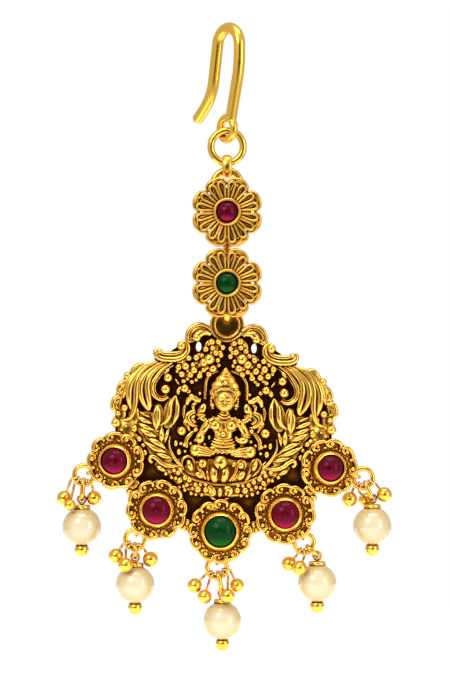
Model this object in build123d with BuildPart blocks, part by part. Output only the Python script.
from build123d import *
from collections import namedtuple
import math
import os

# A maang tikka: a hook, two jewelled flowers on links, and a cast temple pendant with five
# pearl drops. Millimetres, +Z up, the front faces -Y. The origin is the top of the inside of
# the hook's bend, the place that it hangs by.

os.makedirs("parts", exist_ok=True)

# --- Driving sizes ---------------------------------------------------------------------------
GAP = 0.05            # clearance between neighbouring pieces of metal

HOOK_WIRE = 1.5       # diameter of the hook's wire
HOOK_BEND = 2.3       # radius of the hook's bend, to the middle of the wire
HOOK_TURN = 52        # degrees that the hook's plane is turned away from the front
HOOK_AXIS = -0.3      # where the chain hangs, along the hook's plane
FRONT_LEG = 5.65      # straight part of the hook's front leg
FRONT_LEAN = 15       # degrees that the front leg leans
BACK_LEG = 4.7        # straight part of the back leg
BACK_LEAN = 10        # degrees that the back leg leans
TIP_TURN = 38         # further turn of the back leg towards its tip
TIP_BEND = 6.5        # radius of that turn
TIP_LENGTH = 2.4      # straight tip
EYE_RADIUS = 1.42     # the hook's closed eye
EYE_WIRE = 1.05
EYE_Z = -12.28

RING_RADIUS = 2.1     # the round ring under the hook
RING_WIRE = 0.96
RING_SLACK = 0.14     # room for the ring, which crosses the eye askew
LINK_WALL = 0.55      # thickness of the broad links' bands
LINK_HALF_DEPTH = 0.56

FLOWER_RADIUS = 4.45  # tip of a petal
PETALS = 8
FLOWER_BACK = 1.2     # how far the flower's plate stands before the chain's axis
FLOWER_PLATE = 0.7
FLOWER_BEZEL = 1.78
FLOWER_STONE = 1.35
LOOP_RADIUS = 1.765   # rings soldered behind the flowers
LOOP_WIRE = 0.87

PENDANT_Z = -37.83    # middle of the pendant's hanging ring
PENDANT_TILT = 1.9    # degrees clockwise, seen from the front
PLATE_BACK = -0.7     # back of the cast plate, measured forward from the chain's axis
PIVOT_UP = 1.3        # the hanging bar, above the middle of the hanging ring
BAR_HALF = 0.4        # half the bar's thickness
CUP_DEPTH = 2.0       # the cup behind the hanging ring

PEARL_RADIUS = 2.5
PEARL_BORE = 0.3
JUMP_RADIUS = 1.27    # the front-facing rings that the drops hang on
JUMP_WIRE = 0.62
DROP_LINK_WIRE = 0.6
DROP_LINK_DEPTH = 0.68
PIN_LOOP = 0.53
PIN_WIRE = 0.3
SHAFT_RADIUS = 0.2
CAP_RADIUS = 1.1
CAP_RISE = 0.38
END_BALL = 0.93
EYELET_RADIUS = 0.52  # small loops that carry the gold balls
EYELET_WIRE = 0.28
EAR_RADIUS = 0.75     # loops soldered behind the settings
EAR_WIRE = 0.5

AXIS_X = HOOK_AXIS * math.cos(math.radians(HOOK_TURN))
AXIS_Y = -HOOK_AXIS * math.sin(math.radians(HOOK_TURN))


# --- Planes ----------------------------------------------------------------------------------
def facing(x, z, back=0.0):
    """A plane that faces the viewer, placed from the chain's axis."""
    return Plane(origin=(AXIS_X + x, AXIS_Y + back, z), x_dir=(1, 0, 0), z_dir=(0, -1, 0))


def edge_on(x, z, back=0.0, lean=0.0):
    """A plane seen edge-on from the front, with its upright turned lean degrees to the right."""
    across = (math.cos(math.radians(lean)), 0, math.sin(math.radians(lean)))
    return Plane(origin=(AXIS_X + x, AXIS_Y + back, z), x_dir=(0, 1, 0), z_dir=across)


def level(x, z, back=0.0):
    """A plane that faces up."""
    return Plane(origin=(AXIS_X + x, AXIS_Y + back, z))


tilt = math.radians(PENDANT_TILT)
PENDANT = Plane(
    origin=(AXIS_X, AXIS_Y, PENDANT_Z),
    x_dir=(math.cos(tilt), 0, -math.sin(tilt)),
    z_dir=(0, -1, 0),
)


def spot(u, v, w=0.0):
    """A place on the pendant: u to the right, v up, w towards the viewer."""
    return PENDANT.from_local_coords((u, v, w))


# --- Hook ------------------------------------------------------------------------------------
turn = math.radians(HOOK_TURN)
HOOK_PLANE = Plane(
    origin=(0, 0, 0),
    x_dir=(math.cos(turn), -math.sin(turn), 0),
    z_dir=(-math.sin(turn), -math.cos(turn), 0),
)
bend_z = HOOK_WIRE / 2 - HOOK_BEND
lean = math.radians(FRONT_LEAN)

with BuildPart() as hook:
    with BuildLine(HOOK_PLANE) as hook_path:
        rise = Line((HOOK_BEND, bend_z - 1.2), (HOOK_BEND, bend_z))
        bend = JernArc(rise @ 1, rise % 1, HOOK_BEND, 180 - BACK_LEAN)
        back_leg = Line(bend @ 1, bend @ 1 + (bend % 1) * BACK_LEG)
        flare = JernArc(back_leg @ 1, back_leg % 1, TIP_BEND, -TIP_TURN)
        Line(flare @ 1, flare @ 1 + (flare % 1) * TIP_LENGTH)
    with BuildSketch(Plane(origin=hook_path.line @ 0, z_dir=hook_path.line % 0)):
        Circle(HOOK_WIRE / 2)
    sweep(path=hook_path.line)
    with BuildLine(HOOK_PLANE) as leg_path:
        sway = JernArc((HOOK_BEND, bend_z - 1.2), (0, -1), 12, -FRONT_LEAN)
        Line(sway @ 1, sway @ 1 + (sway % 1) * FRONT_LEG)
    with BuildSketch(Plane(origin=leg_path.line @ 0, z_dir=leg_path.line % 0)):
        Circle(HOOK_WIRE / 2)
    sweep(path=leg_path.line)
    with Locations(HOOK_PLANE * Location((HOOK_AXIS, EYE_Z, 0))):
        Torus(EYE_RADIUS, EYE_WIRE / 2)
    fillet(hook.faces().sort_by(Axis.Y)[-1].edges(), HOOK_WIRE / 2 - 0.1)


# --- Chain: rings, broad links and flowers ------------------------------------------------------
ring_z = EYE_Z - EYE_RADIUS + (EYE_WIRE + RING_WIRE) / 2 + RING_SLACK - RING_RADIUS
with BuildPart(facing(0, ring_z)) as hook_ring:
    Torus(RING_RADIUS, RING_WIRE / 2)


def broad_link(top, foot, width):
    """A link seen edge-on whose hole reaches from top to foot, with rounded edges."""
    tall = top - foot
    with BuildPart() as piece:
        with BuildSketch(edge_on(0, (top + foot) / 2)):
            SlotOverall(tall + 2 * LINK_WALL, 2 * (LINK_HALF_DEPTH + LINK_WALL), rotation=90)
            SlotOverall(tall, 2 * LINK_HALF_DEPTH, rotation=90, mode=Mode.SUBTRACT)
        extrude(amount=width / 2, both=True)
        outer = piece.edges().group_by(Axis.X)
        fillet(outer[0] + outer[-1], LINK_WALL * 0.3)
    return piece


Flower = namedtuple("Flower", "z upper_loop lower_loop")
UPPER = Flower(z=-23.2, upper_loop=-19.5, lower_loop=-25.55)
LOWER = Flower(z=-32.4, upper_loop=-30.1, lower_loop=-33.7)
loop_hole = LOOP_RADIUS + LOOP_WIRE / 2
loop_inner = LOOP_RADIUS - LOOP_WIRE / 2
ring_foot = ring_z - RING_RADIUS

link_upper = broad_link(ring_foot + RING_WIRE / 2 + GAP, UPPER.upper_loop + loop_inner - GAP, 1.3)
link_middle = broad_link(UPPER.lower_loop - loop_inner + GAP, LOWER.upper_loop + loop_inner - GAP, 1.0)
link_lower = broad_link(LOWER.lower_loop - loop_inner + GAP, PENDANT_Z + PIVOT_UP - 0.52, 0.9)


def flower(spec):
    """An eight-petalled flower with a plain bezel, on a strap that carries two rings."""
    face = facing(0, spec.z, -FLOWER_BACK)
    petal_mid = FLOWER_RADIUS - 1.35
    with BuildPart() as piece:
        with BuildSketch(face):
            Circle(FLOWER_BEZEL + 1.3)
            with PolarLocations(petal_mid, PETALS, 180 / PETALS):
                Ellipse(1.35, 1.12)
            with PolarLocations(FLOWER_RADIUS - 0.75, PETALS, 180 / PETALS):
                Ellipse(0.75, 0.95)
        extrude(amount=FLOWER_PLATE)
        with BuildSketch(face.offset(FLOWER_PLATE)):
            with PolarLocations(petal_mid - 0.12, PETALS, 180 / PETALS):
                SlotOverall(2.6, 1.45)
                SlotOverall(2.1, 0.95, mode=Mode.SUBTRACT)
                SlotOverall(1.6, 0.36)
        extrude(amount=0.32)
        with BuildSketch(face.offset(FLOWER_PLATE)):
            Circle(FLOWER_BEZEL)
        extrude(amount=0.75)
        with BuildSketch(face.offset(FLOWER_PLATE + 0.75)):
            Circle(FLOWER_STONE + GAP)
        extrude(amount=-0.6, mode=Mode.SUBTRACT)
        with BuildSketch(facing(0, (spec.upper_loop + spec.lower_loop) / 2, -FLOWER_BACK)):
            Rectangle(1.3, spec.upper_loop - spec.lower_loop - 2 * LOOP_RADIUS + 1.5)
        extrude(amount=-(FLOWER_BACK + 0.3))
        with Locations(facing(0, spec.upper_loop), facing(0, spec.lower_loop)):
            Torus(LOOP_RADIUS, LOOP_WIRE / 2)
    return piece


def cabochon(plane, radius, rise):
    """A domed stone that stands on the plane: a short girdle below a round dome."""
    girdle = 0.45
    ball = (radius**2 + rise**2) / (2 * rise)
    half = math.asin(radius / ball) / 2
    shoulder = (ball * math.sin(half), girdle + rise - ball + ball * math.cos(half))
    with BuildPart() as piece:
        with BuildSketch(Plane(origin=plane.origin, x_dir=plane.x_dir, z_dir=-plane.y_dir)):
            with BuildLine():
                Line((0, 0), (radius, 0))
                Line((radius, 0), (radius, girdle))
                ThreePointArc((radius, girdle), shoulder, (0, girdle + rise))
                Line((0, girdle + rise), (0, 0))
            make_face()
        revolve(axis=Axis(plane.origin, plane.z_dir))
    return piece


flower_upper = flower(UPPER)
flower_lower = flower(LOWER)
seat = FLOWER_PLATE + 0.75 - 0.6 + GAP
ruby_upper = cabochon(facing(0, UPPER.z, -FLOWER_BACK).offset(seat), FLOWER_STONE, 0.75)
emerald_lower = cabochon(facing(0, LOWER.z, -FLOWER_BACK).offset(seat), FLOWER_STONE, 0.75)

# --- Pearl drops ------------------------------------------------------------------------------
# Each row: the jump ring's place from the chain's axis, how far behind it hangs, the turn of
# its ear and of the link that it carries (degrees to the right), and half the link's length.
Drop = namedtuple("Drop", "name ring_x ring_z back ear_turn hang_turn link_half balls")
# Each ball: the eyelet's turn on the ring, then the ball's place from the ring's middle.
Ball = namedtuple("Ball", "turn right up back radius")

DROPS = [
    Drop("outer_left", -18.67, -57.41, 1.75, 65, -5.5, 1.27, [
        Ball(-72, -2.59, -3.01, 0.0, 0.95),
        Ball(-46, -1.78, -3.82, -1.7, 0.75),
        Ball(37, 1.30, -3.01, 0.0, 0.95),
    ]),
    Drop("inner_left", -11.99, -65.77, 1.15, 20, 0.0, 0.85, [
        Ball(-67, -2.48, -2.17, 0.0, 0.97),
        Ball(-42, -1.18, -3.22, -2.1, 0.97),
        Ball(42, 1.99, -2.61, 0.0, 1.0),
    ]),
    Drop("centre", -1.33, -69.50, 1.15, 0, 12.1, 1.39, [
        Ball(-58, -2.88, -2.31, 0.0, 0.95),
        Ball(-32, -1.60, -3.70, -0.8, 0.92),
        Ball(54, 1.40, -3.51, -2.0, 0.95),
        Ball(80, 2.62, -2.31, 0.3, 0.92),
    ]),
    Drop("inner_right", 10.02, -66.26, 1.15, -15, 47.0, 0.88, [
        Ball(-30, -1.94, -2.73, 0.0, 0.97),
        Ball(2, -0.61, -3.11, -2.1, 0.95),
    ]),
    Drop("outer_right", 17.75, -57.84, 1.75, -72, 24.7, 1.14, [
        Ball(-44, -1.74, -2.75, 0.0, 1.0),
        Ball(-18, 0.43, -2.91, 2.1, 0.92),
        Ball(67, 2.78, -2.12, -0.3, 0.98),
    ]),
]


def on_ring(drop, degrees, radius=JUMP_RADIUS):
    """A place on the jump ring's circle, turned to the right from straight down."""
    angle = math.radians(degrees)
    right = drop.ring_x + radius * math.sin(angle)
    up = drop.ring_z - radius * math.cos(angle)
    return right, up


def loop_tube(plane, tall, deep, wire):
    """A long loop of round wire; tall runs along the plane's y and deep along its x."""
    straight = tall - deep
    with BuildPart() as piece:
        with BuildLine(plane) as path:
            first = Line((deep / 2, -straight / 2), (deep / 2, straight / 2))
            over = JernArc(first @ 1, first % 1, deep / 2, 180)
            down = Line(over @ 1, over @ 1 - (first % 1) * straight)
            JernArc(down @ 1, down % 1, deep / 2, 180)
        with BuildSketch(Plane(origin=path.line @ 0, z_dir=path.line % 0)):
            Circle(wire / 2)
        sweep(path=path.line)
    return piece


def drop_pieces(drop):
    """The jump ring, link, head pin, bead cap, pearl and gold balls of one drop."""
    with BuildPart(facing(drop.ring_x, drop.ring_z, drop.back)) as ring:
        Torus(JUMP_RADIUS, JUMP_WIRE / 2)

    near = JUMP_RADIUS - (JUMP_WIRE + DROP_LINK_WIRE) / 2 - GAP
    far = near + 2 * drop.link_half
    middle = on_ring(drop, drop.hang_turn, (near + far) / 2)
    link_plane = edge_on(*middle, drop.back, drop.hang_turn)
    link = loop_tube(link_plane, 2 * drop.link_half, 2 * DROP_LINK_DEPTH, DROP_LINK_WIRE)

    x, link_foot = on_ring(drop, drop.hang_turn, far)
    loop_z = link_foot + (DROP_LINK_WIRE + PIN_WIRE) / 2 + GAP - PIN_LOOP
    pearl_z = loop_z - PIN_LOOP - PIN_WIRE / 2 - CAP_RISE - PEARL_RADIUS
    ball_z = pearl_z - PEARL_RADIUS - 0.52
    nest = PEARL_RADIUS + GAP
    with BuildPart() as pin:
        with Locations(level(x, ball_z, drop.back)):
            Sphere(END_BALL)
        with Locations(level(x, pearl_z, drop.back)):
            Sphere(nest, mode=Mode.SUBTRACT)
        with BuildSketch(level(x, ball_z, drop.back)):
            Circle(SHAFT_RADIUS)
        extrude(amount=loop_z - PIN_LOOP - ball_z)
        with Locations(facing(x, loop_z, drop.back)):
            Torus(PIN_LOOP, PIN_WIRE / 2)

    with BuildPart(level(x, pearl_z, drop.back)) as pearl:
        Sphere(PEARL_RADIUS)
        Hole(PEARL_BORE)

    with BuildPart() as cap:
        with BuildSketch(level(x, pearl_z + PEARL_RADIUS - 0.3, drop.back)):
            Circle(CAP_RADIUS)
        extrude(amount=0.3 + CAP_RISE - GAP)
        fillet(cap.edges().sort_by(Axis.Z)[-1], 0.2)
        with BuildSketch(level(x, pearl_z, drop.back)):
            Circle(PEARL_BORE)
        extrude(amount=2 * PEARL_RADIUS, mode=Mode.SUBTRACT)
        with Locations(level(x, pearl_z, drop.back)):
            Sphere(nest, mode=Mode.SUBTRACT)

    with BuildPart() as balls:
        for ball in drop.balls:
            anchor = on_ring(drop, ball.turn)
            eyelet = edge_on(*anchor, drop.back, ball.turn)
            centre = facing(drop.ring_x + ball.right, drop.ring_z + ball.up, drop.back + ball.back).origin
            stem_top = eyelet.origin - eyelet.y_dir * EYELET_RADIUS
            stem = Plane(origin=stem_top, z_dir=centre - stem_top)
            with Locations(eyelet):
                Torus(EYELET_RADIUS, EYELET_WIRE / 2)
            with BuildSketch(stem):
                Circle(EYELET_WIRE / 2 + 0.02)
            extrude(amount=(centre - stem_top).length)
            with Locations(stem.offset((centre - stem_top).length)):
                Sphere(ball.radius)
    return {
        f"jump_ring_{drop.name}": ring,
        f"drop_link_{drop.name}": link,
        f"head_pin_{drop.name}": pin,
        f"bead_cap_{drop.name}": cap,
        f"pearl_{drop.name}": pearl,
        f"gold_balls_{drop.name}": balls,
    }


# --- Cast pendant -----------------------------------------------------------------------------
# Every place here is on the pendant: u to the right, v up, w towards the viewer. Rows for the
# right half are repeated on the left.
FLOOR = 0.0           # front of the backing plate, which the relief stands on
SIDES = (-1, 1)

Setting = namedtuple("Setting", "name u v turn rim bezel stone lobes")
SETTINGS = [
    Setting("ruby_outer_left", -13.8, -18.1, -8, 3.65, 2.2, 1.8, 9),
    Setting("ruby_inner_left", -8.35, -24.3, 0, 3.85, 2.28, 2.0, 10),
    Setting("emerald_centre", 0.0, -26.8, 0, 4.05, 2.52, 2.18, 12),
    Setting("ruby_inner_right", 8.35, -24.3, 0, 3.85, 2.28, 2.0, 10),
    Setting("ruby_outer_right", 13.8, -18.1, 8, 3.65, 2.2, 1.8, 9),
]
RIM_FRONT = 0.9       # front of a setting's scalloped rim
BEZEL_FRONT = 2.0
STONE_FOOT = 0.9
STONE_RISE = 1.35

# Round ribs: an arc through three places, its radius and how high its middle lies.
Rib = namedtuple("Rib", "start middle end radius lift")
RIBS = [
    Rib((1.9, -1.6), (3.6, -0.55), (4.95, -2.1), 0.44, 0.32),      # top scroll
    Rib((4.95, -2.75), (5.9, -4.3), (8.7, -4.45), 0.48, 0.35),     # second scroll, outer ridge
    Rib((5.75, -3.35), (6.6, -3.8), (8.3, -3.75), 0.3, 0.2),       # second scroll, inner ridge
    Rib((6.5, -5.65), (8.85, -8.1), (7.1, -10.2), 0.42, 0.3),      # plume strands, inside first
    Rib((7.5, -5.7), (9.95, -8.3), (10.15, -11.2), 0.52, 0.4),
    Rib((8.62, -5.9), (11.15, -8.55), (11.85, -12.6), 0.52, 0.37),
    Rib((9.72, -6.2), (12.2, -8.7), (13.05, -11.6), 0.44, 0.3),
    Rib((10.75, -6.6), (12.8, -8.2), (14.0, -10.6), 0.32, 0.2),
    Rib((0.75, -6.0), (2.35, -7.0), (2.8, -9.2), 0.26, 0.15),      # halo behind the head
    Rib((3.4, -9.9), (5.05, -11.4), (4.3, -13.5), 0.36, 0.22),     # lotus stem beside the figure
    Rib((5.9, -13.7), (7.15, -15.8), (6.1, -18.1), 0.32, 0.18),    # stem of the leaf spray
    Rib((1.6, -12.7), (2.75, -13.9), (2.5, -15.0), 0.55, 0.9),     # front arm
    Rib((1.35, -12.6), (2.75, -12.1), (2.85, -10.6), 0.4, 0.55),   # raised arm
]

# Plump leaves and petals: from one end to the other, with half the width.
Leaf = namedtuple("Leaf", "start end half_width lift")
LEAVES = [
    Leaf((8.4, -10.9), (8.3, -14.2), 0.55, 0.35),
    Leaf((7.6, -12.7), (7.6, -16.0), 0.5, 0.3),
    Leaf((6.2, -9.6), (6.15, -13.5), 0.8, 0.3),
    Leaf((2.4, -1.3), (4.0, -1.6), 0.42, 0.3),
    Leaf((0.4, -17.0), (4.9, -16.1), 0.85, 0.55),                  # folded leg
    Leaf((0.9, -16.6), (3.9, -15.9), 0.6, 0.95),                   # lap
]
SPRAY_LEAVES = 7
LOTUS_PETALS = 9

# Balls soldered into the relief.
Grain = namedtuple("Grain", "u v radius lift")
GRAINS = [
    Grain(3.85, -1.85, 0.5, 0.4),
    Grain(5.75, -2.95, 0.6, 0.4),
    Grain(7.45, -7.1, 0.6, 0.4),
    Grain(7.55, -8.65, 0.62, 0.4),
    Grain(13.8, -11.6, 0.45, 0.25),
    Grain(13.6, -13.5, 0.6, 0.35),
    Grain(5.45, -14.1, 0.6, 0.4),
    Grain(11.55, -21.5, 0.6, 0.2),
    Grain(4.5, -26.5, 0.6, 0.2),
    Grain(3.15, -10.1, 0.5, 0.35),                                 # lotus bud in a raised hand
    Grain(2.4, -15.1, 0.62, 1.05),                                 # hand
    Grain(1.0, -13.1, 0.62, 1.35),                                 # bust
    Grain(1.3, -10.6, 0.3, 1.35),                                  # earring
]
CLUSTER_ROWS = 4
CLUSTER_LENGTH = 9
CLUSTER_GRAIN = 0.42
SLOT_PLACE = (3.55, -3.0)   # middle of each pierced slot in the crest
SLOT_CLEAR = 0.98           # from there to the middle of the nearest ball
BEADS = 8


def rib(row, side):
    """A half-sunk round wire with ball ends."""
    ends = [(side * u, v) for u, v in (row.start, row.middle, row.end)]
    with BuildPart() as piece:
        with BuildLine(PENDANT.offset(row.lift)) as path:
            ThreePointArc(*ends)
        with BuildSketch(Plane(origin=path.line @ 0, z_dir=path.line % 0)):
            Circle(row.radius)
        sweep(path=path.line)
        for t in (0, 1):
            with Locations(Plane(origin=path.line @ t, z_dir=path.line % t)):
                Sphere(row.radius * 1.12)
    return piece.part


def plump(start, end, half_width, lift):
    """A leaf or petal: a spindle of cones along its own length, fullest near its foot."""
    foot = Vector(*spot(*start, lift))
    run = Vector(*spot(*end, lift)) - foot
    blunt = half_width * 0.12
    with BuildPart() as piece:
        with BuildSketch(Plane(origin=foot, x_dir=run, z_dir=PENDANT.z_dir)):
            with BuildLine():
                Polyline(
                    (0, 0),
                    (0, blunt),
                    (run.length * 0.28, half_width),
                    (run.length * 0.6, half_width * 0.88),
                    (run.length, blunt),
                    (run.length, 0),
                    close=True,
                )
            make_face()
        revolve(axis=Axis(foot, run))
    return piece.part


def setting_plane(row):
    """The plane of a setting; the outer ones turn away to the side."""
    angle = math.radians(row.turn)
    across = PENDANT.x_dir * math.cos(angle) - PENDANT.z_dir * math.sin(angle)
    front = PENDANT.x_dir * math.sin(angle) + PENDANT.z_dir * math.cos(angle)
    return Plane(origin=spot(row.u, row.v), x_dir=across, z_dir=front)


def setting(row):
    """A scalloped rim with grains, and a plain bezel around the seat of its stone."""
    plane = setting_plane(row)
    lobe = math.pi * row.rim / row.lobes * 0.82
    with BuildPart() as piece:
        with BuildSketch(plane.offset(PLATE_BACK)):
            Circle(row.rim - lobe * 0.75)
            with PolarLocations(row.rim - lobe, row.lobes, 90):
                Circle(lobe)
        extrude(amount=RIM_FRONT - PLATE_BACK)
        with BuildSketch(plane.offset(RIM_FRONT)):
            with PolarLocations(row.rim - lobe, row.lobes, 90):
                Circle(lobe - 0.12)
                Circle(lobe - 0.36, mode=Mode.SUBTRACT)
        extrude(amount=0.25)
        with BuildSketch(plane.offset(RIM_FRONT)):
            Circle(row.bezel)
        extrude(amount=BEZEL_FRONT - RIM_FRONT)
        with BuildSketch(plane.offset(BEZEL_FRONT)):
            Circle(row.stone + GAP)
        extrude(amount=STONE_FOOT - BEZEL_FRONT, mode=Mode.SUBTRACT)
        with Locations(plane.offset(RIM_FRONT)):
            with PolarLocations(row.rim - lobe * 0.95, row.lobes, 90):
                Sphere(0.3)
    return piece.part


def backing():
    """The thin plate behind the relief, with the hanging ring and two piercings."""
    thick = FLOOR - PLATE_BACK
    with BuildPart() as piece:
        with BuildSketch(PENDANT.offset(PLATE_BACK)):
            with Locations((0, -12.6)):
                Circle(11.6)
            for side in SIDES:
                with Locations((side * 3.5, -1.75)):
                    Circle(1.65)
                with Locations((side * 7.0, -4.7)):
                    Ellipse(2.3, 0.8)
                with Locations((side * 5.6, -3.4)):
                    Circle(1.0)
                with Locations((side * 8.4, -11.2)):
                    Circle(5.75)
                with Locations((side * 13.3, -13.0)):
                    Ellipse(0.95, 3.0)
                with Locations((side * 10.1, -18.8)):
                    Ellipse(1.9, 2.4)
            with Locations((0, -23.4)):
                Ellipse(9.0, 3.2)
            with Locations((-11.4, -21.2), (11.4, -21.2), (-4.4, -26.2), (4.4, -26.2)):
                Circle(0.8)
            for side in SIDES:
                with Locations((side * SLOT_PLACE[0], SLOT_PLACE[1])):
                    Ellipse(0.32, 0.58, mode=Mode.SUBTRACT)
            Circle(1.6, mode=Mode.SUBTRACT)
        extrude(amount=thick)
    return piece.part


def hanging_ring():
    """The ring in the pendant's crest: a bar for the link at its top and a cup behind it."""
    with BuildPart() as piece:
        with BuildSketch(PENDANT.offset(-CUP_DEPTH)):
            Circle(1.95)
            with Locations((0, 2.1)):
                Rectangle(5, 2.6, mode=Mode.SUBTRACT)
        extrude(amount=CUP_DEPTH - 0.2)
        with BuildSketch(PENDANT.offset(0.35 - CUP_DEPTH)):
            Circle(1.43)
        extrude(amount=CUP_DEPTH, mode=Mode.SUBTRACT)
        with BuildSketch(PENDANT.offset(-BAR_HALF)):
            Circle(2.2)
            Circle(1.5, mode=Mode.SUBTRACT)
            with Locations((0, PIVOT_UP - 0.03)):
                Rectangle(2.2, 0.74)
            with Locations((0, 2.2)):
                Rectangle(5, 0.9, mode=Mode.SUBTRACT)
        extrude(amount=2 * BAR_HALF)
        with BuildSketch(PENDANT.offset(BAR_HALF)):
            Circle(1.98)
            Circle(1.62, mode=Mode.SUBTRACT)
            with Locations((0, 1.9)):
                Rectangle(5, 2.4, mode=Mode.SUBTRACT)
        extrude(amount=0.2)
    return piece.part


def figure():
    """The seated goddess: crown, head, neck, bust and waist, turned about her own height."""
    with BuildPart() as piece:
        with BuildSketch(PENDANT.offset(0.0)):
            with BuildLine():
                Line((0, -12.0), (1.7, -12.3))
                ThreePointArc((1.7, -12.3), (2.05, -12.9), (1.55, -13.6))
                ThreePointArc((1.55, -13.6), (1.05, -14.7), (1.5, -15.9))
                Line((1.5, -15.9), (0, -15.9))
                Line((0, -15.9), (0, -12.0))
            make_face()
        revolve(axis=Axis(spot(0, 0), PENDANT.y_dir))
        with Locations(PENDANT * Location((0, -11.6, 0.95), (90, 0, 0))):
            Cylinder(0.65, 1.4)
        with Locations(PENDANT * Location((0, -9.75, 1.3))):
            Sphere(1.35)
        with Locations(PENDANT * Location((0, -7.55, 0.95), (-90, 0, 0))):
            Cone(1.6, 0.4, 2.6)
        with Locations(PENDANT * Location((0, -5.95, 0.95))):
            Sphere(0.42)
        with Locations(PENDANT * Location((0, -8.2, 2.2))):
            Sphere(0.36)
        with BuildSketch(PENDANT.offset(-0.2)):
            with Locations((0, -11)):
                Rectangle(8, 14)
        extrude(amount=-4, mode=Mode.SUBTRACT)
    return piece.part


def ears():
    """Loops soldered behind the settings, each around the top of a jump ring."""
    with BuildPart() as piece:
        for drop in DROPS:
            anchor = on_ring(drop, 180 - drop.ear_turn)
            with Locations(edge_on(*anchor, drop.back, -drop.ear_turn)):
                Torus(EAR_RADIUS, EAR_WIRE / 2)
    return piece.part


def relief():
    """Every rib, leaf and petal of the cast relief, each with its twin on the other side."""
    solids = []
    for row in RIBS:
        solids += [rib(row, side) for side in SIDES]
    for row in LEAVES:
        for side in SIDES:
            ends = [(side * u, v) for u, v in (row.start, row.end)]
            solids.append(plump(*ends, row.half_width, row.lift))
    for i in range(SPRAY_LEAVES):
        along = i / (SPRAY_LEAVES - 1)
        foot = (8.7 - 3.2 * along, -13.3 - 5.3 * along)
        heading = math.radians(36 - 22 * along)
        reach = 2.3 + 1.1 * along
        tip = (foot[0] + reach * math.cos(heading), foot[1] + reach * math.sin(heading))
        for side in SIDES:
            solids.append(plump((side * foot[0], foot[1]), (side * tip[0], tip[1]), 0.36, 0.27))
    for i in range(LOTUS_PETALS):
        heading = math.radians(-90 + 17 * (i - (LOTUS_PETALS - 1) / 2))
        near, far = 1.0, 3.9 + 0.25 * abs(i - (LOTUS_PETALS - 1) / 2)
        foot = (near * math.cos(heading) * 2, -16.4 + near * math.sin(heading))
        tip = (far * math.cos(heading) * 1.35, -16.4 + far * math.sin(heading))
        solids.append(plump(foot, tip, 0.52, 0.75))
    solids.append(plump((-0.3, -16.9), (-0.3, -18.9), 0.8, 1.3))
    return solids


def cluster_places():
    """The grape clusters at both sides of the crest: u, v, lift and radius of each ball."""
    places = []
    for side in SIDES:
        for i in range(CLUSTER_LENGTH):
            for j in range(CLUSTER_ROWS):
                along = i + 0.5 * (j % 2)
                u = 1.3 + 0.56 * along + 0.42 * (j - 1.5)
                v = -2.75 - 0.46 * along + 0.52 * (j - 1.5)
                if math.hypot(u - SLOT_PLACE[0], v - SLOT_PLACE[1]) > SLOT_CLEAR:
                    lift = 0.1 + 0.06 * ((i * 7 + j * 3) % 4)
                    places.append((side * u, v, lift, CLUSTER_GRAIN))
    return places


def bead_places():
    """The two rows of beads over the settings."""
    places = []
    for side in SIDES:
        for i in range(BEADS):
            for row in (0, 1):
                u = 2.3 + 0.68 * i
                v = -21.15 - 0.62 * row + 0.021 * u**2
                places.append((side * u, v, 0.15, 0.3))
    return places


def grains(places):
    """Balls at places, those that meet joined to each other."""
    with BuildPart() as piece:
        for size in sorted({place[3] for place in places}):
            spots = [place[:3] for place in places if place[3] == size]
            with Locations(*[PENDANT * Location(place) for place in spots]):
                Sphere(size)
    return piece.part


with BuildPart() as pendant_plate:
    add(backing())
    add(hanging_ring())
    add(ears())
    for row in SETTINGS:
        add(setting(row))
    add(figure())
    add(relief(), clean=False)
    add(grains(cluster_places()), clean=False)
    add(grains(bead_places()), clean=False)
    for row in GRAINS:
        add(grains([(side * row.u, row.v, row.lift, row.radius) for side in SIDES]), clean=False)

stones = {
    row.name: cabochon(setting_plane(row).offset(STONE_FOOT + GAP), row.stone, STONE_RISE)
    for row in SETTINGS
}

pieces = {
    "hook": hook,
    "hook_ring": hook_ring,
    "link_upper": link_upper,
    "flower_upper": flower_upper,
    "ruby_upper": ruby_upper,
    "link_middle": link_middle,
    "flower_lower": flower_lower,
    "emerald_lower": emerald_lower,
    "link_lower": link_lower,
    "pendant_plate": pendant_plate,
}
pieces.update(stones)

for drop in DROPS:
    pieces.update(drop_pieces(drop))

for name, piece in pieces.items():
    piece.part.label = name
    export_step(piece.part, f"parts/{name}.step")
